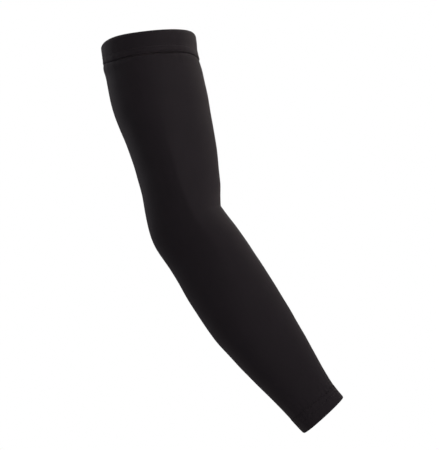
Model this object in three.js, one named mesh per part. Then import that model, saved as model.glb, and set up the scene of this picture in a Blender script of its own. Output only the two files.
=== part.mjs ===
// A compression arm sleeve in the shape it has on a slightly bent arm: a knitted tube, with a folded band
// round the upper-arm opening and a folded hem round the wrist opening. Each piece is a hollow wall, open at
// both ends.
// Millimetres, +Z up, +X towards the inside of the elbow, Y across the arm.
// The origin is the middle of the upper opening, where the arm goes in.

import * as THREE from "three";

// Driving dimensions, in millimetres and degrees
const KNIT_WALL = 1.2;
const SEAM_GAP = 0.4;
// The band and the hem are doubled edges. depth: from the seam to the tip. bulge: how far they stand out from
// the tube. rollRadius and rollAngle: how the last stretch before the tip turns inwards. seamDip: how far the
// stitching draws the seam in, over SEAM_REACH to both sides of it.
const BAND = { depth: 23.4, wall: 2.6, bulge: 0.7, rollRadius: 3.2, rollAngle: 50, seamDip: 0.5 };
const HEM = { depth: 18, wall: 2, bulge: 0.2, rollRadius: 1.5, rollAngle: 40, seamDip: 0.2 };
const SEAM_REACH = 2.5;
// The rim is drawn up at the front and beside the back, less and less down to the band's seam. The seam's own
// two ends are drawn down at the front and up at the back: power sets how narrow these ends are.
const RIM_RISE = { front: 1.6, backSides: 1 };
const SEAM_DRIFT = { frontDrop: 4, backRise: 3.6, reach: 12, power: 8 };
// The crease inside the elbow is a sharp valley, and the point of the elbow is a round rise at the back.
// below: how far along the tube they lie from the section named.
const CREASE = { section: "elbow", below: 2.5, depth: 2.2, reach: 8 };
const ELBOW_POINT = { section: "elbow", below: 16, height: 2.3, reach: 18 };
// Above the elbow both sides of the arm come to a soft ridge. share: its height as a part of the half depth.
const SIDE_RIDGE = { section: "above_elbow", share: 0.06, reach: 70 };

// One row for each section across the tube, from the upper opening to the wrist opening.
// x and z: its middle. lean: the tube's direction there, from straight down towards +X.
// width: its size in the plane of the bend. depth: its size across that plane. crown: how far in front of its
// middle it is deepest, as an arm is fuller at the back except round the elbow.
const SECTIONS = [
  { name: "rim", x: 0, z: 0, lean: 7, width: 100, depth: 98, crown: 0 },
  { name: "upper_seam", x: 3.2, z: -21.7, lean: 7, width: 100.5, depth: 95, crown: -2 },
  { name: "below_band", x: 8.3, z: -46.2, lean: 13, width: 102.1, depth: 95, crown: -5 },
  { name: "biceps", x: 13.4, z: -67.2, lean: 15.5, width: 101, depth: 94, crown: -7 },
  { name: "lower_biceps", x: 22.4, z: -98.2, lean: 15, width: 94.5, depth: 90, crown: -8 },
  { name: "above_elbow", x: 29.9, z: -128.7, lean: 12, width: 88.5, depth: 86, crown: -7 },
  { name: "elbow_top", x: 35, z: -157.2, lean: 9.5, width: 83.8, depth: 83, crown: -4 },
  { name: "elbow", x: 40.4, z: -187.7, lean: 20, width: 80.5, depth: 82, crown: 3 },
  { name: "below_elbow", x: 62.4, z: -225.7, lean: 32.5, width: 83, depth: 82, crown: 6 },
  { name: "forearm", x: 85.1, z: -262, lean: 35, width: 85.8, depth: 80, crown: 0 },
  { name: "mid_forearm", x: 108.2, z: -296.7, lean: 35, width: 83, depth: 76, crown: -6 },
  { name: "lower_forearm", x: 126.5, z: -321.2, lean: 36.5, width: 76.6, depth: 68, crown: -6 },
  { name: "above_wrist", x: 145.3, z: -346.2, lean: 37.5, width: 67.9, depth: 57, crown: -3 },
  { name: "wrist", x: 160.5, z: -366.1, lean: 37.5, width: 60.9, depth: 49.5, crown: -2 },
  { name: "above_hem", x: 170.9, z: -379.9, lean: 38.5, width: 57.1, depth: 47, crown: -2 },
  { name: "wrist_rim", x: 183.8, z: -394.4, lean: 42, width: 55.4, depth: 46, crown: -2 },
];

// How finely the walls are faceted
const SIDES = 40;
const RING_STEP = 11;
const CREASE_RING_STEPS = [-9, -5, -2.2, 0, 2.2, 5, 9];
const FOLD_STEPS = { straight: 4, roll: 3, tip: 4 };

const KNIT_LOOK = { color: 0x1e1b1d, roughness: 0.85, metalness: 0 };
const FOLD_LOOK = { color: 0x211e20, roughness: 0.85, metalness: 0 };

// Distance of each section from the rim, along the tube's middle line
const DISTANCES = SECTIONS.reduce((list, row, i) => {
  const above = SECTIONS[i - 1];
  const step = above ? Math.hypot(row.x - above.x, row.z - above.z) : 0;
  return [...list, (list[i - 1] ?? 0) + step];
}, []);
const LENGTH = DISTANCES.at(-1);
const distanceOf = (name) => DISTANCES[SECTIONS.findIndex((row) => row.name === name)];

// A column's slope at a section, from the parabola through it and its two neighbours
function slopeAt(column, i) {
  const between = (a, b) => (SECTIONS[b][column] - SECTIONS[a][column]) / (DISTANCES[b] - DISTANCES[a]);
  if (i === 0) {
    return between(0, 1);
  }
  if (i === SECTIONS.length - 1) {
    return between(i - 1, i);
  }
  const before = DISTANCES[i] - DISTANCES[i - 1];
  const after = DISTANCES[i + 1] - DISTANCES[i];
  return (between(i - 1, i) * after + between(i, i + 1) * before) / (before + after);
}

// A column's value at a distance s from the rim, on a smooth curve through the rows
function columnAt(column, s) {
  const last = SECTIONS.length - 2;
  const i = Math.min(last, Math.max(0, DISTANCES.findIndex((d) => d > s) - 1));
  const span = DISTANCES[i + 1] - DISTANCES[i];
  const t = (s - DISTANCES[i]) / span;
  const rise = t * t * (3 - 2 * t);
  return (
    SECTIONS[i][column] * (1 - rise) +
    SECTIONS[i + 1][column] * rise +
    span * t * (1 - t) * ((1 - t) * slopeAt(column, i) - t * slopeAt(column, i + 1))
  );
}

// How far the skin stands out from its plain section, at a distance s and an angle round from the front
function relief(s, angle) {
  const front = Math.max(0, Math.cos(angle));
  const back = Math.max(0, -Math.cos(angle));
  const fromCrease = Math.abs(s - distanceOf(CREASE.section) - CREASE.below);
  const fromPoint = s - distanceOf(ELBOW_POINT.section) - ELBOW_POINT.below;
  const crease = CREASE.depth * Math.exp(-fromCrease / CREASE.reach) * front ** 2;
  const point = ELBOW_POINT.height * Math.exp(-((fromPoint / ELBOW_POINT.reach) ** 2)) * back ** 3;
  const dipAt = (fold, seam) => fold.seamDip * Math.exp(-(((s - seam) / SEAM_REACH) ** 2));
  return point - crease - dipAt(BAND, BAND.depth) - dipAt(HEM, LENGTH - HEM.depth);
}

// How far the cloth is drawn up along the tube, at a distance s and an angle round from the front
function drawnUp(s, angle) {
  const front = Math.max(0, Math.cos(angle));
  const back = Math.max(0, -Math.cos(angle));
  const besideBack = back > 0 ? Math.sin(2 * angle) ** 2 : 0;
  const rim = RIM_RISE.front * front ** 2 + RIM_RISE.backSides * besideBack;
  const rimShare = Math.max(0, 1 - s / BAND.depth) ** 2;
  const { frontDrop, backRise, reach, power } = SEAM_DRIFT;
  const seam = backRise * back ** power - frontDrop * front ** power;
  const seamShare = Math.exp(-(((s - BAND.depth) / reach) ** 2));
  return rim * rimShare + seam * seamShare;
}

// A point of the sleeve: s from the rim, angle from the front, inset below the outer skin
function skinPoint(s, angle, inset) {
  const lean = THREE.MathUtils.degToRad(columnAt("lean", s));
  const out = relief(s, angle) - inset;
  const crown = columnAt("crown", s) * Math.sin(angle) ** 2;
  const fromRidge = s - distanceOf(SIDE_RIDGE.section);
  const ridge = SIDE_RIDGE.share * Math.exp(-((fromRidge / SIDE_RIDGE.reach) ** 2)) * Math.sin(3 * angle);
  const forward = (columnAt("width", s) / 2 + out) * Math.cos(angle) + crown;
  const across = (columnAt("depth", s) / 2 + out) * (Math.sin(angle) - ridge);
  const rise = drawnUp(s, angle);
  return new THREE.Vector3(
    columnAt("x", s) + forward * Math.cos(lean) - rise * Math.sin(lean),
    across,
    columnAt("z", s) + forward * Math.sin(lean) + rise * Math.cos(lean),
  );
}

// A closed ring-shaped wall: each point { s, inset } of a closed profile is carried once round the tube
function wallGeometry(profile) {
  const positions = [];
  for (const { s, inset } of profile) {
    for (let side = 0; side < SIDES; side++) {
      positions.push(...skinPoint(s, (2 * Math.PI * side) / SIDES, inset).toArray());
    }
  }
  const triangles = [];
  for (let ring = 0; ring < profile.length; ring++) {
    for (let side = 0; side < SIDES; side++) {
      const here = ring * SIDES;
      const there = ((ring + 1) % profile.length) * SIDES;
      const next = (side + 1) % SIDES;
      triangles.push(here + side, there + side, there + next);
      triangles.push(here + side, there + next, here + next);
    }
  }
  const geometry = new THREE.BufferGeometry();
  geometry.setAttribute("position", new THREE.Float32BufferAttribute(positions, 3));
  geometry.setIndex(triangles);
  geometry.computeVertexNormals();
  return geometry;
}

// The tube's profile: down the outer skin from seam to seam, and back up the inner one
function bodyProfile() {
  const top = BAND.depth + SEAM_GAP / 2;
  const bottom = LENGTH - HEM.depth - SEAM_GAP / 2;
  const crease = distanceOf(CREASE.section) + CREASE.below;
  const creaseRings = CREASE_RING_STEPS.map((step) => crease + step);
  const clear = RING_STEP / 2;
  const steps = Math.round((bottom - top) / RING_STEP);
  const evenRings = Array.from({ length: steps + 1 }, (_, i) => THREE.MathUtils.lerp(top, bottom, i / steps));
  const farRings = evenRings.filter((s) => s < creaseRings[0] - clear || s > creaseRings.at(-1) + clear);
  const rings = [...farRings, ...creaseRings].sort((a, b) => a - b);
  const outer = rings.map((s) => ({ s, inset: 0 }));
  const inner = rings.map((s) => ({ s, inset: KNIT_WALL })).reverse();
  return [...outer, ...inner];
}

// A folded edge's profile, as distances from the fold's tip: the wall's middle line runs straight from the
// seam and then rolls inwards, and its two skins meet round the tip
function foldProfile({ depth, wall, bulge, rollRadius, rollAngle }) {
  const turn = THREE.MathUtils.degToRad(rollAngle);
  const half = wall / 2;
  const straightEnd = half + rollRadius * Math.sin(turn);
  const line = [];
  for (let i = 0; i < FOLD_STEPS.straight; i++) {
    const share = i / FOLD_STEPS.straight;
    const fromTip = THREE.MathUtils.lerp(depth - SEAM_GAP / 2, straightEnd, share);
    line.push({ fromTip, inset: half - bulge, turned: 0 });
  }
  for (let i = 0; i <= FOLD_STEPS.roll; i++) {
    const turned = (turn * i) / FOLD_STEPS.roll;
    line.push({
      fromTip: straightEnd - rollRadius * Math.sin(turned),
      inset: half - bulge + rollRadius * (1 - Math.cos(turned)),
      turned,
    });
  }
  const offset = ({ fromTip, inset, turned }, side, around = 0) => ({
    fromTip: fromTip - half * Math.sin(turned + around) * side,
    inset: inset - half * Math.cos(turned + around) * side,
  });
  const outer = line.map((point) => offset(point, 1));
  const inner = line.map((point) => offset(point, -1)).reverse();
  const tip = [];
  for (let i = 1; i < FOLD_STEPS.tip; i++) {
    tip.push(offset(line.at(-1), 1, (Math.PI * i) / FOLD_STEPS.tip));
  }
  return [...outer, ...tip, ...inner];
}

function piece(name, profile, look) {
  const mesh = new THREE.Mesh(wallGeometry(profile), new THREE.MeshStandardMaterial(look));
  mesh.name = name;
  return mesh;
}

const bandProfile = foldProfile(BAND).map(({ fromTip, inset }) => ({ s: fromTip, inset })).reverse();
const hemProfile = foldProfile(HEM).map(({ fromTip, inset }) => ({ s: LENGTH - fromTip, inset }));

const armSleeve = new THREE.Group();
armSleeve.add(
  piece("sleeve_body", bodyProfile(), KNIT_LOOK),
  piece("upper_band", bandProfile, FOLD_LOOK),
  piece("wrist_hem", hemProfile, FOLD_LOOK),
);

export default armSleeve;
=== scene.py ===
"""Looks of a black compression arm sleeve, in metres, with +Z up and +X towards the inside of the elbow.

A fine knitted tube has a folded, twin-stitched band at the upper-arm opening and a folded, twin-stitched hem
at the wrist opening.
"""

import math

import bpy
import numpy as np
from mathutils import Matrix, Vector


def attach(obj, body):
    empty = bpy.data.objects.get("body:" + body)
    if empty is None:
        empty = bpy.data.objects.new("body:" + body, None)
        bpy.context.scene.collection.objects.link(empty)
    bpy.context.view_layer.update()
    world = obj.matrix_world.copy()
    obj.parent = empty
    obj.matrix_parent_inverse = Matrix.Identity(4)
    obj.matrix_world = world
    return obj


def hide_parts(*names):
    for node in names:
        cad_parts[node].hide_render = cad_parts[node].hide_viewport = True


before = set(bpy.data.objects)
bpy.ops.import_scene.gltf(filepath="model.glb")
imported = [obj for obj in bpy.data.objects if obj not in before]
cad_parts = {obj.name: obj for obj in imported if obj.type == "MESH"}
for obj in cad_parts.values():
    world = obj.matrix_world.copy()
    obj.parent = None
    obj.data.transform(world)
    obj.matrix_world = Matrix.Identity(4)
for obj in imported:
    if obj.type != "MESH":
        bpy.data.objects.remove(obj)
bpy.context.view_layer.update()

# Sections across the tube, as in the solids: middle x and z, lean of the tube from straight down towards +X
# in degrees, width in the plane of the bend, depth across it, and how far in front of its middle it is
# deepest
SECTIONS = {
    "rim": (0.0, 0.0, 7.0, 0.1, 0.098, 0.0),
    "upper_seam": (0.0032, -0.0217, 7.0, 0.1005, 0.095, -0.002),
    "below_band": (0.0083, -0.0462, 13.0, 0.1021, 0.095, -0.005),
    "biceps": (0.0134, -0.0672, 15.5, 0.101, 0.094, -0.007),
    "lower_biceps": (0.0224, -0.0982, 15.0, 0.0945, 0.09, -0.008),
    "above_elbow": (0.0299, -0.1287, 12.0, 0.0885, 0.086, -0.007),
    "elbow_top": (0.035, -0.1572, 9.5, 0.0838, 0.083, -0.004),
    "elbow": (0.0404, -0.1877, 20.0, 0.0805, 0.082, 0.003),
    "below_elbow": (0.0624, -0.2257, 32.5, 0.083, 0.082, 0.006),
    "forearm": (0.0851, -0.262, 35.0, 0.0858, 0.08, 0.0),
    "mid_forearm": (0.1082, -0.2967, 35.0, 0.083, 0.076, -0.006),
    "lower_forearm": (0.1265, -0.3212, 36.5, 0.0766, 0.068, -0.006),
    "above_wrist": (0.1453, -0.3462, 37.5, 0.0679, 0.057, -0.003),
    "wrist": (0.1605, -0.3661, 37.5, 0.0609, 0.0495, -0.002),
    "above_hem": (0.1709, -0.3799, 38.5, 0.0571, 0.047, -0.002),
    "wrist_rim": (0.1838, -0.3944, 42.0, 0.0554, 0.046, -0.002),
}
ROWS = np.array(list(SECTIONS.values()))
STEPS = np.hypot(np.diff(ROWS[:, 0]), np.diff(ROWS[:, 1]))
DISTANCES = np.concatenate([[0.0], np.cumsum(STEPS)])
LENGTH = DISTANCES[-1]
ELBOW = DISTANCES[list(SECTIONS).index("elbow")]

# Walls and folds
KNIT_WALL = 0.0012
SEAM_GAP = 0.0001
BAND = {"depth": 0.0234, "wall": 0.0026, "bulge": 0.0007, "roll_radius": 0.0032, "roll_angle": 50.0}
HEM = {"depth": 0.018, "wall": 0.002, "bulge": 0.0002, "roll_radius": 0.0015, "roll_angle": 40.0}
RIM_RISE = {"front": 0.0016, "back_sides": 0.001}
SEAM_DRIFT = {"front_drop": 0.004, "back_rise": 0.0036, "reach": 0.012, "power": 8}
BAND_SEAM = BAND["depth"]
HEM_SEAM = LENGTH - HEM["depth"]

# The bend: a valley inside the elbow and a round rise at its point
CREASE = {"at": ELBOW + 0.0025, "depth": 0.0022, "reach": 0.008, "softness": 0.0008, "power": 2}
ELBOW_POINT = {"at": ELBOW + 0.016, "height": 0.0023, "reach": 0.018, "power": 3}
# The soft ridge of both sides above the elbow, its height as a part of the half depth
SIDE_RIDGE = {"at": DISTANCES[list(SECTIONS).index("above_elbow")], "share": 0.03, "reach": 0.07}
# A soft fold line along both sides, through the elbow
SIDE_FOLD = {
    "angle": math.radians(85),
    "height": 0.004,
    "reach": 0.016,
    "softness": 0.0015,
    "at": 0.165,
    "length": 0.06,
}

# Sewing: each seam lies in a narrow groove, the tube starts a step lower than the fold, and twin needle rows
# run round each fold
SEAMS = {
    "band": {"at": BAND_SEAM, "groove": 0.00135, "step": 0.001},
    "hem": {"at": HEM_SEAM, "groove": 0.00008, "step": 0.0},
}
GROOVE_REACH = 0.001
STEP_REACH = 0.005
# How hard the seams are drawn in: least at the front and the back, most on both sides
SEAM_PULL = {"least": 0.23, "more": 1.12, "at": math.radians(68), "reach": math.radians(32)}
NEEDLE_GAUGE = 0.0057
NEEDLE_FROM_SEAM = 0.0012
BAND_ROWS = (BAND_SEAM - NEEDLE_FROM_SEAM, BAND_SEAM - NEEDLE_FROM_SEAM - NEEDLE_GAUGE)
HEM_ROWS = (HEM_SEAM + NEEDLE_FROM_SEAM, HEM_SEAM + NEEDLE_FROM_SEAM + NEEDLE_GAUGE)
NEEDLE_GROOVE = {"depth": 0.00014, "reach": 0.0006}
STITCH = {"pitch": 0.0029, "share": 0.86, "radius": 0.00022, "lift": 0.00012, "sink": 0.0002}
# The tube puffs out a little below the band's seam, most at the back
PUFF = {"at": BAND_SEAM + 0.0042, "front": 0.0003, "back": 0.0014, "reach": 0.0042, "power": 3}
# The band is hollowed between its rolled rim and its seam, except at the back
BAND_HOLLOW = {"at": 0.0142, "depth": 0.0006, "reach": 0.0042}
# Puckers beside the seams, made of ripples round the tube: turns and phase of each
PUCKER = {"height": 0.00022, "reach": 0.011}
PUCKER_TURNS = ((23, 0.4), (31, 2.2), (41, 5.1))

# Closing seam of the tube, along its far side
CLOSING = {"angle": math.pi / 2, "half_width": 0.0026, "height": 0.0003, "soft": 0.00035, "row": 0.002}

# Slow waves of the stretched cloth: height, wavelength along the tube, turns round it and phase
WAVES = (
    (0.0001, 0.061, 2, 0.7),
    (0.00008, 0.043, -3, 2.9),
    (0.00006, 0.029, 5, 4.4),
)

# Fineness of the meshes
AROUND = 240
CLOSING_ANGLES = {"reach": 0.09, "clear": 0.1, "count": 19}
BODY_STEP = 0.0022
INNER_STEP = 0.005
FINE_STEP = 0.0005
FINE_REACH = 0.006
FOLD_STEPS = {"straight": 44, "roll": 14, "tip": 10}
THREAD_SIDES = 6
STITCH_POINTS = 6
# How far off the skin its outward direction is measured
PROBE = 0.0005


def section_slopes():
    """Slope of every column at every section, from the parabola through it and its neighbours."""
    rises = np.diff(ROWS, axis=0) / STEPS[:, None]
    before, after = STEPS[:-1, None], STEPS[1:, None]
    middle = (rises[:-1] * after + rises[1:] * before) / (before + after)
    return np.vstack([rises[:1], middle, rises[-1:]])


SLOPES = section_slopes()


def columns_at(s):
    """The columns of the section table at distances s from the rim, on smooth curves through the rows."""
    i = np.clip(np.searchsorted(DISTANCES, s, side="right") - 1, 0, len(STEPS) - 1)
    span = STEPS[i][..., None]
    t = ((s - DISTANCES[i]) / STEPS[i])[..., None]
    rise = t * t * (3 - 2 * t)
    ends = ROWS[i] * (1 - rise) + ROWS[i + 1] * rise
    bends = span * t * (1 - t) * ((1 - t) * SLOPES[i] - t * SLOPES[i + 1])
    return np.moveaxis(ends + bends, -1, 0)


def bell(distance, reach):
    """A bump that is 1 at distance 0 and dies out over the reach."""
    return np.exp(-((distance / reach) ** 2))


def fold_straight_end(fold):
    """Distance from a fold's tip to where its wall starts to roll inwards."""
    return fold["wall"] / 2 + fold["roll_radius"] * math.sin(math.radians(fold["roll_angle"]))


def fold_bulge(fold, from_tip):
    """How far the cloth stands out at distances from a fold's tip: the fold's bulge up to its seam."""
    return np.where(from_tip < fold["depth"], fold["bulge"], 0.0)


def around_from_closing(angle, width):
    """Distance round the tube from the closing seam."""
    turned = (angle - CLOSING["angle"] + math.pi) % (2 * math.pi) - math.pi
    return turned * width / 2


def from_front(angle):
    """Angle from the front, whichever way round."""
    return np.abs((angle + math.pi) % (2 * math.pi) - math.pi)


def bend_relief(s, angle, width):
    """The crease inside the elbow, the point of the elbow and the fold line of both sides."""
    front = np.maximum(0, np.cos(angle))
    back = np.maximum(0, -np.cos(angle))
    from_crease = np.hypot(s - CREASE["at"], CREASE["softness"])
    crease = CREASE["depth"] * np.exp(-from_crease / CREASE["reach"]) * front ** CREASE["power"]
    along_point = bell(s - ELBOW_POINT["at"], ELBOW_POINT["reach"])
    point = ELBOW_POINT["height"] * along_point * back ** ELBOW_POINT["power"]
    from_fold = np.hypot((from_front(angle) - SIDE_FOLD["angle"]) * width / 2, SIDE_FOLD["softness"])
    fold = SIDE_FOLD["height"] * np.exp(-from_fold / SIDE_FOLD["reach"])
    return point - crease + fold * bell(s - SIDE_FOLD["at"], SIDE_FOLD["length"])


def seam_relief(s, angle):
    """The folds' bulges, the seams' grooves, steps and puckers, and the needle grooves."""
    out = fold_bulge(BAND, s) + fold_bulge(HEM, LENGTH - s)
    ripple = sum(np.sin(turns * angle + phase) for turns, phase in PUCKER_TURNS) / len(PUCKER_TURNS)
    on_tube = (s > BAND_SEAM) & (s < HEM_SEAM)
    at_sides = bell(from_front(angle) - SEAM_PULL["at"], SEAM_PULL["reach"])
    pull = SEAM_PULL["least"] + SEAM_PULL["more"] * at_sides
    for seam in SEAMS.values():
        away = s - seam["at"]
        out = out - seam["groove"] * pull * bell(away, GROOVE_REACH)
        out = out - seam["step"] * pull * bell(away, STEP_REACH) * on_tube
        out = out + PUCKER["height"] * np.exp(-np.abs(away) / PUCKER["reach"]) * ripple
    for row in (*BAND_ROWS, *HEM_ROWS):
        out = out - NEEDLE_GROOVE["depth"] * bell(s - row, NEEDLE_GROOVE["reach"])
    return out


def cloth_relief(s, angle, width):
    """The puff below the band, the band's hollow, slow waves and the thicker cloth of the closing seam."""
    backward = ((1 - np.cos(angle)) / 2) ** PUFF["power"]
    puff = PUFF["front"] + (PUFF["back"] - PUFF["front"]) * backward
    out = puff * bell(s - PUFF["at"], PUFF["reach"])
    off_back = 1 - np.maximum(0, -np.cos(angle)) ** 2
    out = out - BAND_HOLLOW["depth"] * bell(s - BAND_HOLLOW["at"], BAND_HOLLOW["reach"]) * off_back
    for height, wavelength, turns, phase in WAVES:
        out = out + height * np.sin(2 * math.pi * s / wavelength + turns * angle + phase)
    beside = (np.abs(around_from_closing(angle, width)) - CLOSING["half_width"]) / CLOSING["soft"]
    return out + CLOSING["height"] * (1 - np.tanh(beside)) / 2


def relief(s, angle, width):
    """How far the cloth stands out from the plain section, at distances s and angles from the front."""
    return bend_relief(s, angle, width) + seam_relief(s, angle) + cloth_relief(s, angle, width)


def drawn_up(s, angle):
    """How far the cloth is drawn up along the tube, at the rim and at the two ends of the band's seam."""
    front = np.maximum(0, np.cos(angle))
    back = np.maximum(0, -np.cos(angle))
    beside_back = np.where(back > 0, np.sin(2 * angle) ** 2, 0)
    rim = RIM_RISE["front"] * front**2 + RIM_RISE["back_sides"] * beside_back
    power = SEAM_DRIFT["power"]
    seam = SEAM_DRIFT["back_rise"] * back**power - SEAM_DRIFT["front_drop"] * front**power
    return rim * np.clip(1 - s / BAND_SEAM, 0, 1) ** 2 + seam * bell(s - BAND_SEAM, SEAM_DRIFT["reach"])


def skin(s, angle, inset):
    """Points of the sleeve: s from the rim, angle from the front, inset below the outer skin."""
    s, angle, inset = np.broadcast_arrays(np.asarray(s, float), angle, inset)
    x, z, lean, width, depth, crown = columns_at(s)
    lean = np.radians(lean)
    out = relief(s, angle, width) - inset
    forward = (width / 2 + out) * np.cos(angle) + crown * np.sin(angle) ** 2
    ridge = SIDE_RIDGE["share"] * bell(s - SIDE_RIDGE["at"], SIDE_RIDGE["reach"])
    across = (depth / 2 + out) * (np.sin(angle) - ridge * np.sin(3 * angle))
    rise = drawn_up(s, angle)
    right = x + forward * np.cos(lean) - rise * np.sin(lean)
    up = z + forward * np.sin(lean) + rise * np.cos(lean)
    return np.stack([right, across, up], axis=-1)


def wall_angles():
    """Angles round the tube, even all round and closer together at the closing seam."""
    even = np.linspace(0, 2 * math.pi, AROUND, endpoint=False)
    reach = CLOSING_ANGLES["reach"]
    close = np.linspace(-reach, reach, CLOSING_ANGLES["count"]) + CLOSING["angle"]
    far = np.abs(even - CLOSING["angle"]) > CLOSING_ANGLES["clear"]
    return np.sort(np.concatenate([even[far], close]))


def mesh_piece(name, points, faces, uvs, material):
    """A smooth mesh object; uvs has one pair for each corner of each face, or is None."""
    mesh = bpy.data.meshes.new(name)
    mesh.from_pydata(points.reshape(-1, 3).tolist(), [], faces.tolist())
    if uvs is not None:
        layer = mesh.uv_layers.new(name="knit")
        layer.data.foreach_set("uv", uvs.astype(np.float32).ravel())
    mesh.shade_smooth()
    mesh.materials.append(material)
    piece = bpy.data.objects.new(name, mesh)
    bpy.context.scene.collection.objects.link(piece)
    return piece


def ring_wall(name, s, inset, material):
    """A closed ring-shaped wall: each point (s, inset) of a closed profile is carried once round the tube."""
    angles = wall_angles()
    points = skin(s[:, None], angles[None, :], inset[:, None])
    rings, sides = len(s), len(angles)
    ring, side = np.meshgrid(np.arange(rings), np.arange(sides), indexing="ij")
    next_ring = (ring + 1) % rings
    next_side = (side + 1) % sides
    corners = ((ring, side), (next_ring, side), (next_ring, next_side), (ring, next_side))
    faces = np.stack([r * sides + a for r, a in corners], axis=-1).reshape(-1, 4)
    turns = np.append(angles, angles[0] + 2 * math.pi) / (2 * math.pi)
    steps = np.hypot(np.diff(s, append=s[0]), np.diff(inset, append=inset[0]))
    along = np.append(0, np.cumsum(steps))
    uvs = np.stack(
        [
            np.stack([turns[side + right], along[ring + down]], axis=-1)
            for down, right in ((0, 0), (1, 0), (1, 1), (0, 1))
        ],
        axis=2,
    )
    return mesh_piece(name, points, faces, uvs, material)


def body_profile():
    """Distances and insets down the outer skin from seam to seam and up the inner one, close together at the
    seams and the crease."""
    top = BAND_SEAM + SEAM_GAP / 2
    bottom = HEM_SEAM - SEAM_GAP / 2
    fine = np.arange(0, FINE_REACH, FINE_STEP)
    outer = np.concatenate(
        [
            np.arange(top + FINE_REACH, bottom - FINE_REACH, BODY_STEP),
            top + fine,
            bottom - fine,
            CREASE["at"] + np.concatenate([-fine[1:], fine]),
        ]
    )
    outer = np.sort(outer)
    inner = np.append(np.arange(bottom, top, -INNER_STEP), top)
    s = np.concatenate([outer, inner])
    inset = np.concatenate([np.zeros(len(outer)), np.full(len(inner), KNIT_WALL)])
    return s, inset


def fold_profile(fold):
    """A folded edge as distances from its tip and insets: from its seam up the outer skin, round the tip and
    back down the inner skin. The bulge is part of the skin's relief."""
    half = fold["wall"] / 2
    turn = math.radians(fold["roll_angle"])
    straight_end = fold_straight_end(fold)
    straight = np.linspace(fold["depth"] - SEAM_GAP / 2, straight_end, FOLD_STEPS["straight"], endpoint=False)
    rolled = np.linspace(0, turn, FOLD_STEPS["roll"] + 1)
    from_tip = np.append(straight, straight_end - fold["roll_radius"] * np.sin(rolled))
    middle = np.append(np.full(len(straight), half), half + fold["roll_radius"] * (1 - np.cos(rolled)))
    turned = np.append(np.zeros(len(straight)), rolled)
    tip = np.linspace(0, math.pi, FOLD_STEPS["tip"] + 1)[1:-1] + turn
    facing = np.concatenate([turned, tip, turned[::-1] + math.pi])
    line = np.concatenate([from_tip, np.full(len(tip), from_tip[-1]), from_tip[::-1]])
    depth = np.concatenate([middle, np.full(len(tip), middle[-1]), middle[::-1]])
    return line - half * np.sin(facing), depth - half * np.cos(facing)


def unit(vectors):
    """The vectors, each made 1 long."""
    return vectors / np.linalg.norm(vectors, axis=-1, keepdims=True)


def thread_piece(name, s, angle, height, radius, material):
    """Closed little tubes on the skin, one for each row of s, angle and height over the skin."""
    centre = skin(s, angle, -height)
    outward = unit(skin(s, angle, -height - PROBE) - centre)
    along = unit(np.gradient(centre, axis=1))
    sideways = unit(np.cross(along, outward))
    outward = np.cross(sideways, along)
    turns = np.linspace(0, 2 * math.pi, THREAD_SIDES, endpoint=False)[:, None]
    threads, knots = s.shape
    around = np.cos(turns) * outward[:, :, None] + np.sin(turns) * sideways[:, :, None]
    rings = centre[:, :, None] + radius * around
    points = np.concatenate([rings.reshape(threads, -1, 3), centre[:, :1], centre[:, -1:]], axis=1)
    per_thread = points.shape[1]
    faces = []
    for knot in range(knots - 1):
        for turn in range(THREAD_SIDES):
            beside = (turn + 1) % THREAD_SIDES
            here, there = knot * THREAD_SIDES, (knot + 1) * THREAD_SIDES
            faces.append((here + turn, there + beside, there + turn))
            faces.append((here + turn, here + beside, there + beside))
    last = (knots - 1) * THREAD_SIDES
    for turn in range(THREAD_SIDES):
        beside = (turn + 1) % THREAD_SIDES
        faces.append((per_thread - 2, beside, turn))
        faces.append((per_thread - 1, last + turn, last + beside))
    all_faces = np.array(faces)[None] + (np.arange(threads) * per_thread)[:, None, None]
    return mesh_piece(name, points, all_faces.reshape(-1, 3), None, material)


def stitch_heights(count):
    """Height of stitches over the skin along their length: out of the cloth, along it and back in."""
    t = np.linspace(0, 1, STITCH_POINTS)
    lift = STITCH["lift"] * np.sin(math.pi * t) ** 0.5
    sink = STITCH["sink"] * (2 * t - 1) ** 6
    return np.tile(lift - sink, (count, 1))


def stitch_count(row):
    """How many stitches go round the tube in a needle row."""
    _, _, _, width, depth, _ = columns_at(np.array(row))
    return round(math.pi * (width + depth) / 2 / STITCH["pitch"])


def needle_stitches(name, rows, material):
    """Needle stitches on the outer skin, in rows round the tube at the distances given."""
    share = np.linspace(0, STITCH["share"], STITCH_POINTS)
    s, angle = [], []
    for row in rows:
        count = stitch_count(row)
        angle.append(2 * math.pi * (np.arange(count)[:, None] + share) / count)
        s.append(np.full((count, STITCH_POINTS), row))
    s, angle = np.concatenate(s), np.concatenate(angle)
    return thread_piece(name, s, angle, stitch_heights(len(s)), STITCH["radius"], material)


def cover_stitches(name, rows, wall, material):
    """Thread on the inside of a fold, which runs to and fro between its two needle rows."""
    low, high = rows
    count = stitch_count(low)
    share = np.linspace(0, 1, STITCH_POINTS)
    start = np.arange(count)[:, None]
    there = np.broadcast_to(low + (high - low) * share, (count, STITCH_POINTS))
    s = np.concatenate([there, there[:, ::-1]])
    angle = 2 * math.pi * np.concatenate([start + share / 2, start + 0.5 + share / 2]) / count
    return thread_piece(name, s, angle, np.full(s.shape, -wall), STITCH["radius"], material)


def closing_stitches(name, material):
    """Two needle rows along the closing seam, from the band's seam to the hem's."""
    count = round((HEM_SEAM - BAND_SEAM) / STITCH["pitch"]) - 1
    share = np.linspace(0, STITCH["share"], STITCH_POINTS)[None, :]
    along = BAND_SEAM + STITCH["pitch"] * (np.arange(count)[:, None] + 0.5 + share)
    width = columns_at(along)[3]
    angles = [CLOSING["angle"] + side * CLOSING["row"] / (width / 2) for side in (-1, 1)]
    s, angle = np.concatenate([along, along]), np.concatenate(angles)
    return thread_piece(name, s, angle, stitch_heights(len(s)), STITCH["radius"], material)


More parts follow.
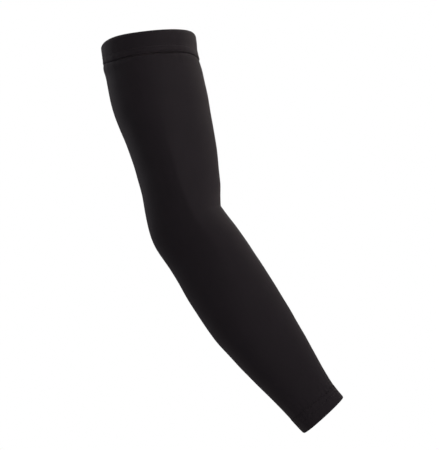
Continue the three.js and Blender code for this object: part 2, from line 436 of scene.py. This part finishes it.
# Colours of the cloth, and its sheen
DYE = (0.0276, 0.02, 0.0324)
FOLDED_DYE = (0.0286, 0.0208, 0.0334)
SHEEN = {"Sheen Weight": 0.2, "Sheen Roughness": 0.6, "Sheen Tint": (1.0, 0.88, 0.95, 1.0)}
# The knit: loops round the tube, loop rows in a metre along it, how a loop is made up, and how much painted
# shade darkens the gaps between loops
KNIT = {"wales": 480, "courses": 1900, "slant": 0.6, "yarn": 0.45, "leg": 0.55, "shade": 0.22}
KNIT_GLOSS = {"roughness": 0.74, "roughness_range": 0.16, "specular": 0.35}
KNIT_BUMP = {"strength": 0.35, "height": 0.00012, "fibre": 0.25}
# Unevenness of the knit: scale and detail of its noise and how much it changes the colour
UNEVEN = {"dye": (38.0, 3.0, 0.22), "fibre": (2600.0, 2.0, 0.3), "streak": (0.7, 2.0, 0.2)}
STREAK_STRETCH = 0.004
# The thread: scale and detail of its ply's noise, how much that changes the colour, and its bump
THREAD = {"scale": 3800.0, "detail": 1.0, "contrast": 0.3, "roughness": 0.55}
THREAD_BUMP = {"strength": 0.4, "height": 0.0001}


def node(tree, kind, **settings):
    """A shader node with its settings."""
    made = tree.nodes.new(kind)
    for key, value in settings.items():
        setattr(made, key, value)
    return made


def maths(tree, operation, first, second=None):
    """A Math node on two sockets or numbers, and its result."""
    made = node(tree, "ShaderNodeMath", operation=operation)
    for socket, value in zip(made.inputs, (first, second)):
        if isinstance(value, bpy.types.NodeSocket):
            tree.links.new(value, socket)
        elif value is not None:
            socket.default_value = value
    return made.outputs[0]


def zigzag(tree, value):
    """Rises from 0 to 1 and falls back, once in each unit of the value."""
    return maths(tree, "MULTIPLY", maths(tree, "PINGPONG", value, 0.5), 2.0)


def noise(tree, vector, scale, detail):
    """The value of a noise at a vector."""
    made = node(tree, "ShaderNodeTexNoise", noise_dimensions="3D")
    made.inputs["Scale"].default_value = scale
    made.inputs["Detail"].default_value = detail
    tree.links.new(vector, made.inputs["Vector"])
    return made.outputs["Fac"]


def add_bump(tree, shader, height, strength, distance):
    """Bump on a shader from a height socket."""
    bump = node(tree, "ShaderNodeBump")
    bump.inputs["Strength"].default_value = strength
    bump.inputs["Distance"].default_value = distance
    tree.links.new(height, bump.inputs["Height"])
    tree.links.new(bump.outputs["Normal"], shader.inputs["Normal"])


def cloth_material(name):
    """A new material with the sheen of cloth, its node tree and its shader."""
    material = bpy.data.materials.new(name)
    material.use_nodes = True
    tree = material.node_tree
    shader = tree.nodes["Principled BSDF"]
    for socket, value in SHEEN.items():
        shader.inputs[socket].default_value = value
    return material, tree, shader


def knit_material(name, colour):
    """Fine plain knit: columns of small V loops along the tube with painted shade in the gaps between them,
    faint lengthwise streaks and uneven dye.
    """
    material, tree, shader = cloth_material(name)
    place = node(tree, "ShaderNodeUVMap", uv_map="knit")
    split = node(tree, "ShaderNodeSeparateXYZ")
    tree.links.new(place.outputs["UV"], split.inputs["Vector"])
    wale = maths(tree, "MULTIPLY", split.outputs["X"], KNIT["wales"])
    course = maths(tree, "MULTIPLY", split.outputs["Y"], KNIT["courses"])
    leg = zigzag(tree, wale)
    yarn = zigzag(tree, maths(tree, "ADD", course, maths(tree, "MULTIPLY", leg, KNIT["slant"])))
    yarn_part = maths(tree, "MULTIPLY", yarn, KNIT["yarn"])
    loops = maths(tree, "ADD", yarn_part, maths(tree, "MULTIPLY", leg, KNIT["leg"]))

    solid = node(tree, "ShaderNodeTexCoord").outputs["Object"]
    streak_place = node(tree, "ShaderNodeCombineXYZ")
    tree.links.new(wale, streak_place.inputs["X"])
    tree.links.new(maths(tree, "MULTIPLY", course, STREAK_STRETCH), streak_place.inputs["Y"])
    places = {"dye": solid, "fibre": solid, "streak": streak_place.outputs["Vector"]}
    # Painted shade: the gaps between the loops are made darker in the colour, then uneven dye, fibre and
    # streaks change it further
    shade = maths(tree, "ADD", maths(tree, "MULTIPLY", loops, KNIT["shade"]), 1.0 - KNIT["shade"])
    textures = {}
    for kind, (scale, detail, amount) in UNEVEN.items():
        textures[kind] = noise(tree, places[kind], scale, detail)
        change = maths(tree, "MULTIPLY", maths(tree, "SUBTRACT", textures[kind], 0.5), amount)
        shade = maths(tree, "MULTIPLY", shade, maths(tree, "ADD", change, 1.0))
    tint = node(tree, "ShaderNodeMix", data_type="RGBA", blend_type="MULTIPLY")
    tint.inputs["Factor"].default_value = 1.0
    tint.inputs["A"].default_value = (*colour, 1.0)
    tree.links.new(shade, tint.inputs["B"])
    tree.links.new(tint.outputs["Result"], shader.inputs["Base Color"])

    least = KNIT_GLOSS["roughness"] - KNIT_GLOSS["roughness_range"] / 2
    fuzz = maths(tree, "MULTIPLY", textures["fibre"], KNIT_GLOSS["roughness_range"])
    tree.links.new(maths(tree, "ADD", fuzz, least), shader.inputs["Roughness"])
    shader.inputs["Specular IOR Level"].default_value = KNIT_GLOSS["specular"]
    height = maths(tree, "ADD", loops, maths(tree, "MULTIPLY", textures["fibre"], KNIT_BUMP["fibre"]))
    add_bump(tree, shader, height, KNIT_BUMP["strength"], KNIT_BUMP["height"])
    return material


def thread_material(name, colour):
    """Polyester sewing thread, a little glossier than the knit, with a twisted ply."""
    material, tree, shader = cloth_material(name)
    solid = node(tree, "ShaderNodeTexCoord").outputs["Object"]
    ply = noise(tree, solid, THREAD["scale"], THREAD["detail"])
    tint = node(tree, "ShaderNodeMix", data_type="RGBA")
    for socket, lightness in (("A", 1 - THREAD["contrast"]), ("B", 1 + THREAD["contrast"])):
        tint.inputs[socket].default_value = (*(lightness * part for part in colour), 1.0)
    tree.links.new(ply, tint.inputs["Factor"])
    tree.links.new(tint.outputs["Result"], shader.inputs["Base Color"])
    add_bump(tree, shader, ply, THREAD_BUMP["strength"], THREAD_BUMP["height"])
    shader.inputs["Roughness"].default_value = THREAD["roughness"]
    return material


def build_sleeve():
    """The three cloth pieces and their threads, in place of the plain solids."""
    knit = knit_material("black_knit", DYE)
    folded = knit_material("black_folded_knit", FOLDED_DYE)
    thread = thread_material("black_thread", DYE)

    body = ring_wall("knit_tube", *body_profile(), knit)
    from_tip, inset = fold_profile(BAND)
    band = ring_wall("folded_band", from_tip[::-1], inset[::-1], folded)
    from_tip, inset = fold_profile(HEM)
    hem = ring_wall("folded_wrist_hem", LENGTH - from_tip, inset, folded)
    threads = [
        needle_stitches("band_stitches", BAND_ROWS, thread),
        needle_stitches("hem_stitches", HEM_ROWS, thread),
        cover_stitches("band_cover_stitches", BAND_ROWS, BAND["wall"], thread),
        cover_stitches("hem_cover_stitches", HEM_ROWS, HEM["wall"], thread),
        closing_stitches("closing_seam_stitches", thread),
    ]

    for piece, cad_node, slot in (
        (body, "sleeve_body", "knit"),
        (band, "upper_band", "folded_knit"),
        (hem, "wrist_hem", "folded_knit"),
    ):
        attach(piece, "root")
        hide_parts(cad_node)
    for piece in threads:
        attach(piece, "root")


# Camera, fitted to the photograph's frame of 439 by 450 pixels
FRAME_PIXELS = (439, 450)
FOCAL_PIXELS = 1389.0
SENSOR = 36.0
CAMERA_TARGET = Vector((0.0756, 0.0, -0.1962))
CAMERA_DISTANCE = 1.45845
CAMERA_ELEVATION = math.radians(-5.0)


def build_camera():
    """The camera, at the photograph's viewing angle."""
    data = bpy.data.cameras.new("camera")
    data.sensor_width = SENSOR
    data.lens = FOCAL_PIXELS / max(FRAME_PIXELS) * SENSOR
    camera = bpy.data.objects.new("camera", data)
    back = Vector((0.0, -math.cos(CAMERA_ELEVATION), math.sin(CAMERA_ELEVATION)))
    camera.location = CAMERA_TARGET + back * CAMERA_DISTANCE
    camera.rotation_euler = (-back).to_track_quat("-Z", "Y").to_euler()
    bpy.context.scene.collection.objects.link(camera)
    bpy.context.scene.camera = camera


# Studio: soft boxes round a point of the sleeve. Columns: the point they face, azimuth from the camera's
# right (negative towards the camera), elevation, distance, size, power and colour
WHITE = (1.0, 1.0, 1.0)
WARM = (1.0, 0.95, 0.82)
SLEEVE_MIDDLE = CAMERA_TARGET
UPPER_ARM = Vector((0.03, 0.0, -0.1))
UPPER_BAND = Vector((0.0, 0.0, -0.03))
ELBOW_INSIDE = Vector((0.06, 0.0, -0.18))
ELBOW_BACK = Vector((0.0, 0.0, -0.18))
WRIST = Vector((0.17, 0.0, -0.38))
SOFT_BOXES = {
    "front": (SLEEVE_MIDDLE, -90.0, 20.0, 1.6, 0.9, 0.75, WHITE),
    "elbow_key": (ELBOW_INSIDE, -60.0, 30.0, 0.5, 0.15, 0.4, WARM),
    "upper_top": (UPPER_ARM, -90.0, 60.0, 0.6, 0.2, 0.084, WARM),
    "band_right": (UPPER_BAND, 30.0, 20.0, 0.4, 0.12, 0.134, WARM),
    "band_top": (UPPER_BAND, 0.0, 50.0, 0.4, 0.12, 0.079, WARM),
    "wrist_key": (WRIST, -60.0, -30.0, 0.5, 0.15, 0.3, WARM),
    "right": (SLEEVE_MIDDLE, 0.0, -10.0, 1.6, 0.9, 0.8, WHITE),
    "left": (SLEEVE_MIDDLE, -180.0, -10.0, 1.6, 0.9, 0.258, WHITE),
    "left_back": (SLEEVE_MIDDLE, 150.0, 20.0, 1.6, 0.9, 2.5, WHITE),
    "elbow_rim": (ELBOW_BACK, 135.0, 5.0, 0.6, 0.2, 0.08, WHITE),
    "back": (SLEEVE_MIDDLE, 90.0, 20.0, 1.6, 0.9, 8.0, WHITE),
}
FILL_STRENGTH = 0.066


def build_light():
    """Soft square lamps, each facing its point of the sleeve."""
    for name, (aim, azimuth, elevation, distance, size, power, colour) in SOFT_BOXES.items():
        data = bpy.data.lights.new(name, "AREA")
        data.size = size
        data.energy = power
        data.color = colour
        light = bpy.data.objects.new(name, data)
        raised = Vector((math.cos(math.radians(elevation)), 0.0, math.sin(math.radians(elevation))))
        towards = Matrix.Rotation(math.radians(azimuth), 3, "Z") @ raised
        light.location = aim + towards * distance
        light.rotation_euler = (-towards).to_track_quat("-Z", "Y").to_euler()
        light.visible_camera = False
        bpy.context.scene.collection.objects.link(light)


def build_world():
    """A white surround behind the sleeve that lights it only softly."""
    world = bpy.data.worlds.new("studio")
    bpy.context.scene.world = world
    world.use_nodes = True
    tree = world.node_tree
    background = tree.nodes["Background"]
    background.inputs["Color"].default_value = (*WHITE, 1.0)
    seen = node(tree, "ShaderNodeLightPath").outputs["Is Camera Ray"]
    strength = maths(tree, "ADD", maths(tree, "MULTIPLY", seen, 1.0 - FILL_STRENGTH), FILL_STRENGTH)
    tree.links.new(strength, background.inputs["Strength"])
    bpy.context.scene.view_settings.view_transform = "Standard"


# Floor: a plain pale square far below the sleeve. It glows nearly white and doesn't light the cloth
FLOOR = {"height": -1.7, "half_side": 4.0, "roughness": 0.9, "glow": 0.93}
PALE = (0.9, 0.9, 0.89, 1.0)


def build_floor():
    """The floor, seen in high views only."""
    side = FLOOR["half_side"]
    corners = [(x * side, y * side, FLOOR["height"]) for x, y in ((-1, -1), (1, -1), (1, 1), (-1, 1))]
    mesh = bpy.data.meshes.new("floor")
    mesh.from_pydata(corners, [], [(0, 1, 2, 3)])
    material = bpy.data.materials.new("pale_floor")
    material.use_nodes = True
    shader = material.node_tree.nodes["Principled BSDF"]
    shader.inputs["Base Color"].default_value = PALE
    shader.inputs["Roughness"].default_value = FLOOR["roughness"]
    shader.inputs["Emission Color"].default_value = (*WHITE, 1.0)
    shader.inputs["Emission Strength"].default_value = FLOOR["glow"]
    mesh.materials.append(material)
    floor = bpy.data.objects.new("floor", mesh)
    floor.visible_diffuse = False
    floor.visible_glossy = False
    bpy.context.scene.collection.objects.link(floor)


build_camera()
build_sleeve()
build_light()
build_world()
build_floor()
